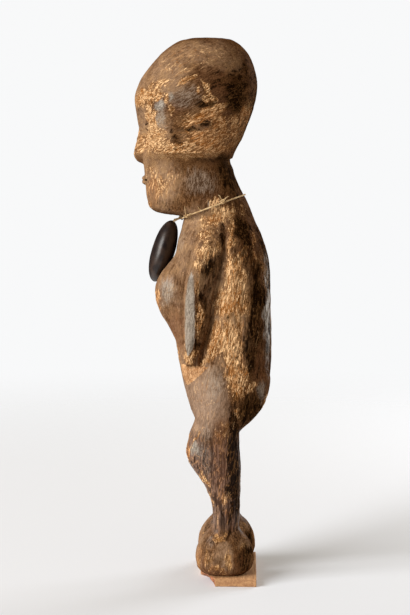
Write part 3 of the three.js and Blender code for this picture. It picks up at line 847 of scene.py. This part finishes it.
def carveRelief(mesh):
    # Heights along the normals: slow waves of the blade, strokes and chips where the wood is bare, an
    # incised line before each arm, the neck cut in under the head, a notch above each foot, a ridge from
    # the hip to the knee, drying cracks up the back, and the lids and the lips
    r, points, normals = relief, pointsOf(mesh), vectorsOf(mesh.vertex_normals, "vector")
    x, y, z = points.T

    def line(name, across):
        high, width, middle, reach, beyond = r[name]
        return high * ridge(across, width) * bell(z, middle, reach) * (np.abs(x) > beyond)

    bare = ramp(wearFields(points, normals)["bare"] + 0.3 * cloud(points, 4, 7), 0.3, 0.75)
    chips = ramp(cloud(points, (3.2, 3.2, 5), 15), 0.1, 0.35)
    cuts = strokes(points)
    height = sum(high * cloud(points, size, 1 + k) for k, (size, high) in enumerate(r["waves"]))
    height -= bare * (r["bareSunk"] + r["bareStrokes"] * cuts + r["bareChips"] * chips)
    height -= r["coveredStrokes"] * (1 - bare) * cuts
    height += line("armLine", y - along(figure["armMiddle"], z) + along(figure["armHalfLength"], z) + 0.6)
    height += line("footNotch", y - 2.5 - 0.02 * (z - 45))
    height += line("kneeRidge", (y + 24) * 0.88 - (z - 111) * 0.47)
    rim = z - r["neckCutTop"] - r["neckCutUneven"] * cloud(points, 8, 21)
    height -= r["neckCut"] * ramp(rim, -9, -0.6) * ramp(-rim, -0.5, 0.4) * ramp(y, -34, -8)
    cracks = ramp(np.abs(cloud(points, (2.4, 2.4, 30), 8)), 0.13, 0.0) * ramp(normals[:, 1], -0.3, 0.3)
    height -= r["crack"] * cracks * ramp(z, 300, 280) * ramp(z, 45, 60)
    height *= 1 - r["faceCalm"] * ramp(-y, 50, 56) * ramp(z, 285, 292)
    almonds, lines = faceForms(points)
    height += face["proud"] * almonds - face["lineDepth"] * lines
    movePoints(mesh, points + normals * height[:, None])


carved = fusedFigure()
print("figure fused,", len(carved.data.polygons), "faces")
softened(carved.data)
carveRelief(carved.data)
faces = sum(len(polygon.vertices) - 2 for polygon in carved.data.polygons)
modified(carved, DECIMATE={"ratio": min(1, figure["triangles"] / faces)})
finalPoints, finalNormals = pointsOf(carved.data), vectorsOf(carved.data.vertex_normals, "vector")
for fieldName, fieldValues in wearFields(finalPoints, finalNormals).items():
    setField(carved.data, fieldName, fieldValues)
setField(carved.data, "stroke", 0.5 + 0.4 * strokes(finalPoints))
setField(carved.data, "head", ramp(finalPoints[:, 2], *wear["neck"]))
carved.data.shade_smooth()
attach(carved, "root")
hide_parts("figure")
print("figure carved,", len(carved.data.polygons), "faces")


# The seed: a thick lens with a blunt rim
seed = {"length": 47, "width": 37, "thickness": 17, "lean": 17, "middle": (0, -48.8, 244.5)}


def seedGrid():
    # Radius = half length * cos^0.8 of the rise and height = half thickness * sin^1.1 of it,
    # narrowed across, with slow lumps, then leant forward at its foot
    angle, rise = np.meshgrid(np.linspace(0, 2 * np.pi, 160, endpoint=False),
                              np.linspace(-np.pi / 2, np.pi / 2, 90)[1:-1])
    out = np.cos(rise) ** 0.8 * (1 - 0.02 * np.cos(2 * angle) - 0.012 * np.sin(3 * angle + 1))
    flat = np.sign(np.sin(rise)) * np.abs(np.sin(rise)) ** 1.1
    grid = np.stack([out * np.cos(angle) * seed["width"] / 2, flat * seed["thickness"] / 2,
                     out * np.sin(angle) * seed["length"] / 2], -1)
    lumps = cloud(grid.reshape(-1, 3), 11, 4).reshape(angle.shape)
    x, y, z = np.moveaxis(grid * (1 + 0.014 * lumps - 0.012)[..., None], -1, 0)
    return np.stack([x, *turned(y, z, -math.radians(seed["lean"]))], -1) + np.array(seed["middle"])


hungSeed = meshObject("hung_seed", *closedGrid(seedGrid()))
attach(hungSeed, "root")
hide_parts("pendant")
print("seed made")


# The slab, a sawn board whose front left corner has broken away
slab = {
    "halfWidth": 33.5, "halfDepth": 21, "thickness": 6.5, "edge": 0.35, "step": 0.6,
    # The broken corner: its reach along two sides, its jags, how far it is cut back, how ragged it is
    "alongSide": 11, "alongFront": 13.5, "jags": ((3, 4.5), (4, 4.5)), "pastTip": 16,
    "undercut": (2.5, 10), "cutBack": 0.8, "ragged": 1.2,
}


def slabGrid():
    # A profile from the middle of the underside out, up the side and back in over the top, carried round
    # the outline. The break is ragged and cut back further below than above
    w, d, e, t = slab["halfWidth"], slab["halfDepth"], slab["edge"], slab["thickness"]
    tip, sideEnd = w - slab["alongFront"], slab["alongSide"] - d
    jag, nextJag = slab["jags"]
    corners = np.array([(-w, -d), (tip, -d), (tip + jag[0], jag[1] - d),
                        (w - nextJag[0], sideEnd - nextJag[1]), (w, sideEnd), (w, d), (-w, d)])
    after = np.roll(corners, -1, 0)
    counts = np.maximum(2, (np.linalg.norm(after - corners, axis=1) / slab["step"]).astype(int))
    outline = np.concatenate([a + (b - a) * np.linspace(0, 1, n, endpoint=False)[:, None]
                              for a, b, n in zip(corners, after, counts)])
    faceRings = np.linspace(1, 0.04, 8)
    levels = np.concatenate([
        np.zeros(8), [0, e * 0.3], np.linspace(e, t - e, 12), [t - e * 0.3, t], np.full(8, t)])
    inward = np.concatenate([faceRings, [0.02, 0.008], np.zeros(12), [0.008, 0.02], faceRings[::-1]])
    grid = np.zeros((len(levels), len(outline), 3))
    grid[..., :2] = outline * (1 - inward * 0.97)[:, None, None]
    grid[..., 2] = levels[:, None]
    onEdge = np.repeat(np.arange(len(corners)), counts)
    broken = np.convolve((onEdge >= 1) & (onEdge <= 3), [0.25, 0.5, 0.25], "same")
    broken = np.maximum(broken, (onEdge == 0) * ramp(outline[:, 0], tip - slab["pastTip"], tip))
    least, more = slab["undercut"]
    undercut = least + more * ramp(w - outline[:, 0], 0, slab["alongFront"])
    undercut = undercut * (1 - levels / t)[:, None] ** 1.2
    points = grid.reshape(-1, 3)
    ragged = (cloud(points, 2.2, 3) + 0.5 * cloud(points, 0.9, 4)).reshape(grid.shape[:2])
    back = broken * (1 - inward[:, None]) * (undercut + slab["cutBack"] + slab["ragged"] * ragged)
    grid[..., 0] -= 0.4 * back
    grid[..., 1] += 0.9 * back
    return grid, broken * (inward[:, None] < 0.03)


slabPoints, slabBroken = slabGrid()
board = meshObject("broken_slab", *closedGrid(slabPoints))
setField(board.data, "broken", np.concatenate([slabBroken.ravel(), [0, 0]]))
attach(board, "root")
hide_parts("base_slab")
print("slab made")


# Knots, loose ends and the loops that hold the seed
trim = {
    "thickness": 0.95, "step": 0.4,
    "knots": [((25.6, -4.3, 281.3), 1.5), ((21.4, -30.6, 270.9), 1.3), ((0.4, -35.4, 269.4), 1.5),
              ((0.5, -43.4, 265.2), 1.2)],
    "loops": [
        [(-1.6, -34.9, 269.4), (-2.6, -38.2, 268.6), (-2.4, -41.6, 267), (-1.2, -43.6, 265.6),
         (0.6, -43.9, 265)],
        [(1.8, -34.9, 269.2), (2.9, -37.8, 268), (2.7, -41, 266.4), (1.4, -43.3, 265.4),
         (0.2, -43.8, 264.8)],
        [(3.4, -34.6, 269.9), (4.6, -35.8, 271.2), (2.2, -37.4, 271.6), (0.2, -36.4, 270.6),
         (-1, -35, 269.6)]],
    "ends": [
        [(24.9, -4.4, 282.1), (25.4, -5.6, 283.6), (25.9, -6.4, 285.4), (26.1, -7.6, 286.2)],
        [(24.9, -3.2, 282.2), (25.2, -2.2, 283.6), (25, -0.9, 284.6), (24.9, 0.4, 285.2)],
        [(20.6, -30.9, 271.2), (22.6, -31.2, 273.4), (23.9, -31.4, 276), (24.6, -31.8, 278.4)],
        [(20.9, -30.2, 271.1), (23.2, -28.7, 271.9), (24.8, -27.2, 272.6), (25.8, -25.9, 272.4)],
        [(24.9, -20.2, 275.3), (25.6, -21.2, 276.4), (26, -22.2, 277.8)]],
}


def knotPath(middle, size):
    # A trefoil, sin t + 2 sin 2t and cos t - 2 cos 2t, flattened against the skin
    t = np.linspace(0, 2 * np.pi, 60)
    outward, across, up = -0.8 * np.sin(3 * t), np.cos(t) - 2 * np.cos(2 * t), np.sin(t) + 2 * np.sin(2 * t)
    return np.array(middle) + np.stack([outward, across * 1.15, up], 1) * size / 3


def trimPiece(name, paths, ply, sides, taper=None):
    return meshObject(name, *joined([twine(path, trim["thickness"], ply, sides, taper) for path in paths]))


loopPaths = [smoothPath(route, trim["step"]) for route in trim["loops"]]
endPaths = [smoothPath(route, trim["step"]) for route in trim["ends"]]
knotPiece = trimPiece("string_knots", [knotPath(*knot) for knot in trim["knots"]], 3.5, 10)
loopPiece = trimPiece("seed_loops", loopPaths, 3.8, 10)
endPiece = trimPiece("string_ends", endPaths, 3, 8, lambda t: 1 - 0.75 * t ** 2)
for piece in (knotPiece, loopPiece, endPiece):
    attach(piece, "root")
tuple(stringPath[-1] * mm)
stringPath[::-1] * mm
print("knots and loops made")


# Finishes. A pair of tones goes from dark to light
tones = {
    "tan": ((0.36, 0.14, 0.034), (1.0, 0.66, 0.36)), "tanRim": (0.085, 0.035, 0.01),
    "tanLine": (0.085, 0.032, 0.007), "tanWarm": (0.38, 0.14, 0.04), "tanFoot": (0.34, 0.175, 0.06),
    "planed": ((0.34, 0.16, 0.07), (0.58, 0.32, 0.165)),
    "brown": ((0.055, 0.022, 0.007), (0.2, 0.098, 0.04)), "purple": (0.09, 0.042, 0.026),
    "red": (0.17, 0.065, 0.028), "brownLine": (0.04, 0.017, 0.006),
    "golden": ((0.12, 0.044, 0.01), (0.48, 0.235, 0.085)),
    "dust": ((0.2, 0.115, 0.062), (0.4, 0.265, 0.172)),
    "goldenDust": (0.38, 0.225, 0.1), "coolDust": (0.31, 0.228, 0.18),
    "leg": ((0.01, 0.003, 0.001), (0.22, 0.132, 0.095)), "legLine": (0.5, 0.26, 0.12),
    # Painted sheen: the pale grey that stands for light reflected by polished patina
    "paintedSheenGrey": ((0.2, 0.172, 0.138), (0.37, 0.325, 0.275)),
    "black": ((0.004, 0.0014, 0.0003), (0.065, 0.026, 0.008)), "blackLine": (0.26, 0.13, 0.048),
    "seed": ((0.012, 0.006, 0.005), (0.045, 0.026, 0.018)),
    "sawn": ((0.35, 0.17, 0.075), (0.57, 0.32, 0.15)), "torn": ((0.17, 0.05, 0.025), (0.55, 0.22, 0.11)),
    "fibre": ((0.42, 0.26, 0.11), (0.86, 0.66, 0.4)),
}
# The heights between which a zone's look comes in
zones = {"knees": (0.122, 0.1), "ankles": (0.03, 0.048), "feet": (0.05, 0.038), "shins": (0.06, 0.04),
         "hips": (0.135, 0.185)}


def woodFinish():
    # Brown patina with dust, and polish painted pale grey as sheen, black soot and painted shade over it,
    # and tan wood where both are worn away, each through a mask that noise and threads along the grain
    # break up
    paint = Paint("worn_wood")
    noise, mix, graded, ramped = paint.noise, paint.mix, paint.graded, paint.rampOf
    bare, soot, polishAndPaintedSheen, dust, warm, head, stroke, planed = (paint.field(name) for name in (
        "bare", "soot", "polishAndPaintedSheen", "dust", "warm", "head", "stroke", "planed"))
    wide = noise(paint.place, 22, 2, 0.5)
    blotch = noise(paint.place, 7, 4, 0.6)
    grains = noise(paint.place, 1.8, 3, 0.6)
    fine = noise(paint.place, 0.8, 2, 0.5)
    upward, slanting = paint.stretched((1, 1, 0.18), 10), paint.stretched((1, 0.2, 1), -27)
    grain = paint.jogged(paint.between(head, upward, slanting), 9, 0.8)
    slow = noise(grain, 3.3, 3, 0.55)
    streak = noise(grain, 0.85, 2, 0.55)
    rim, tone = paint.cells(grain, 1.0)
    darkLines, paleLines = paint.threads(grain, 1.7, 0.055), paint.threads(grain, 3.3, 0.022)
    mottle = streak * 2.6 + fine * 2.2 + blotch * 1.2
    soft = streak * 0.9 + slow * 1.2 + blotch * 1.5 + grains * 1.3

    level = paint.node("SeparateXYZ", {}, {0: paint.place}, 2)
    legs = ramped(level + blotch * 0.03, *zones["knees"]) * ramped(level, *zones["ankles"])
    feet, above = ramped(level, *zones["feet"]), ramped(level, *zones["hips"])

    # Where the patina is gone, and where soot and painted shade lie
    cover = bare * 1.7 - 0.87 + tone * 0.35 + streak * 2.2 + slow * 2.4 + fine * 1.2
    shown = ramped(cover - (stroke - 0.5) * 0.4, -0.14, 0.18)
    shown = shown + paleLines * ramped(bare + dust * 0.4, 0.1, 0.6) * (1 - shown) * 0.7
    dark = ramped(soot * 1.25 - 0.58 + streak * 1.8 + slow * 2.0 + tone * 0.4, -0.15, 0.4)
    shown = shown * (1 - dark * 0.8)

    tan = graded(tone * 0.8 + mottle * 0.7 + wide, -0.55, 0.6, tones["tan"])
    rims = ramped(rim + fine * 0.12, 0.10, 0.0)
    tan = mix(rims * (0.8 - dust * 0.25), tan, tones["tanRim"])
    tan = mix(darkLines * (0.95 - dust * 0.4), tan, tones["tanLine"])
    tan = mix(warm * 0.55, tan, tones["tanWarm"])
    tan = mix(planed * 0.6, tan, graded(soft, -0.5, 0.5, tones["planed"]))
    tan = mix(feet * 0.5, tan, tones["tanFoot"])

    dusty = graded(soft, -0.7, 0.6, tones["dust"])
    gilded = ramped(blotch + grains * 0.5, -0.06, 0.12)
    dusty = mix(gilded * above * 0.45, dusty, tones["goldenDust"])
    cool = (1 - above) * (1 - ramped(level, *zones["shins"]))
    dusty = mix(cool * 0.45, dusty, tones["coolDust"])
    fibres = noise(paint.stretched((1, 1, 0.06)), 1.1, 3, 0.55)
    leg = graded(fibres * 3.4 + slow * 2.2, -0.4, 0.45, tones["leg"])
    leg = mix(paleLines * 0.8, leg, tones["legLine"])
    golden = graded(mottle, -0.6, 0.5, tones["golden"])
    # The painted sheen's grey, smoother on the planed facet
    paintedSheenGrey = graded(mottle * (1 - planed * 0.4), -0.6, 0.5, tones["paintedSheenGrey"])

    brown = graded(mottle, -0.5, 0.5, tones["brown"])
    brown = mix(ramped(wide + mottle * 0.2, -0.08, 0.12) * 0.4, brown, tones["purple"])
    brown = mix(dust * ramped(soft + dust, -0.5, 0.6), brown, dusty)
    brown = mix(legs * 0.85, brown, leg)
    brown = mix(ramped(bare + slow * 1.2, 0.12, 0.7) * 0.8, brown, golden)
    # Polished patches take the painted sheen's grey
    brown = mix(polishAndPaintedSheen * ramped(mottle * 0.6 + polishAndPaintedSheen, 0.0, 0.8), brown, paintedSheenGrey)
    brown = mix(warm * 0.5 * (1 - polishAndPaintedSheen * 0.6), brown, tones["red"])
    brown = mix(darkLines * (0.55 - dust * 0.35), brown, tones["brownLine"])
    black = graded(mottle, 0.0, 0.8, tones["black"])
    black = mix(paleLines * 0.4, black, tones["blackLine"])

    colour = mix(shown, mix(dark * 0.94, brown, black), tan)
    height = (streak * 0.3 + grains * 0.3 + fine * 0.2) * (0.5 + shown * 0.5) - shown * 0.1
    height = height + ramped(rim, 0.0, 0.15) * shown * 0.25
    gloss = (1 - shown) * (1 - dark * 0.8) * (polishAndPaintedSheen * 0.5 + legs * 0.42 + 0.02)
    return paint.finish([(blotch, 0.4), (height, 0.7)], Base_Color=colour, IOR=1.45,
                        Roughness=0.5 + shown * 0.3 + fine * 0.5, Specular_IOR_Level=0.0,
                        Coat_Weight=gloss, Coat_Roughness=0.3)


def seedFinish():
    paint = Paint("seed_coat")
    cloudy, fine = paint.noise(paint.place, 8, 3, 0.6), paint.noise(paint.place, 1.2, 3, 0.6)
    colour = paint.graded(cloudy, -0.15, 0.2, tones["seed"])
    return paint.finish([(cloudy, 0.15), (fine, 0.04)], Base_Color=colour,
                        Roughness=0.38 + fine * 0.16, IOR=1.5)


def slabFinish():
    paint = Paint("pale_board")
    grain = paint.noise(paint.stretched((0.12, 1, 1)), 1.6, 4, 0.6)
    fine = paint.noise(paint.place, 0.8, 3, 0.6)
    sawn = paint.graded(grain, -0.15, 0.18, tones["sawn"])
    torn = paint.graded(fine, -0.1, 0.1, tones["torn"])
    colour = paint.mix(paint.field("broken") * 0.85, sawn, torn)
    return paint.finish([(grain, 0.2), (fine, 0.12)], Base_Color=colour, Roughness=0.83 + fine * 0.1)


def fibreFinish():
    paint = Paint("plant_fibre")
    fine, slow = paint.noise(paint.place, 0.35, 4, 0.65), paint.noise(paint.place, 5, 2, 0.5)
    colour = paint.graded(fine + slow * 0.6, -0.15, 0.2, tones["fibre"])
    return paint.finish([(fine, 0.1)], Base_Color=colour, Roughness=0.85)


dressed = ((woodFinish(), (carved, solids["figure"])),
           (fibreFinish(), (neckString, knotPiece, loopPiece, endPiece, solids["neck_string"])),
           (seedFinish(), (hungSeed, solids["pendant"])),
           (slabFinish(), (board, solids["base_slab"])))
for finish, things in dressed:
    for thing in things:
        thing.data.materials.clear()
        thing.data.materials.append(finish)
print("finishes made")


# Studio: a pale floor that fades out, a bright backdrop from the world, a large soft light before the
# figure and a weak one behind it
studio = {
    "floor": (0.77, 0.82, 0.91), "reach": 9.0, "floorFades": (1.1, 0.2),
    # Colour and strength of what the camera sees behind, of the light all round and of what gloss mirrors
    "backdrop": ((0.94, 0.945, 0.95), 1), "around": ((1, 0.82, 0.58), 0.36),
    "mirrored": ((0.93, 0.96, 1), 0.05),
    # Name, place, aim, width, height, watts, colour
    "lights": [("window", (1.85, -2.95, 1.75), (0, 0, 0.22), 2.4, 2.8, 214, (1, 0.97, 0.93)),
               ("behind", (-0.75, 0.85, 0.5), (0, 0, 0.25), 0.7, 1.0, 10, (1, 0.98, 0.95))],
}

floorPoints = np.array([(-1, -1, 0), (1, -1, 0), (1, 1, 0), (-1, 1, 0)]) * studio["reach"] / mm
floorPiece = meshObject("floor", floorPoints, np.array([[0, 1, 2, 3]]))
paint = Paint("pale_floor")
away = paint.node("VectorMath", {"operation": "LENGTH"}, {0: paint.place}, "Value")
floorPiece.data.materials.append(paint.finish(
    Base_Color=studio["floor"], Alpha=paint.rampOf(away, *studio["floorFades"]), Roughness=0.8,
    Specular_IOR_Level=0.0))


def softLight(name, place, aim, width, height, watts, colour):
    lamp = bpy.data.lights.new(name, "AREA")
    lamp.shape, lamp.size, lamp.size_y, lamp.energy, lamp.color = "RECTANGLE", width, height, watts, colour
    placed(name, lamp, place, Vector(aim) - Vector(place)).visible_camera = False


for light in studio["lights"]:
    softLight(*light)
scene.world = bpy.data.worlds.new("studio")
sky = Nodes(scene.world)


def background(name):
    colour, strength = studio[name]
    return sky.node("Background", {}, {"Color": (*colour, 1), "Strength": strength}, 0)


def byRay(kind, others, these):
    # What rays of one kind meet, and what all others meet
    return sky.node("MixShader", {}, {0: sky.node("LightPath", {}, {}, kind), 1: others, 2: these}, 0)


unseen = byRay("Is Glossy Ray", background("around"), background("mirrored"))
sky.node("OutputWorld", {}, {"Surface": byRay("Is Camera Ray", unseen, background("backdrop"))})
scene.view_settings.view_transform = "Standard"
print("studio lit")
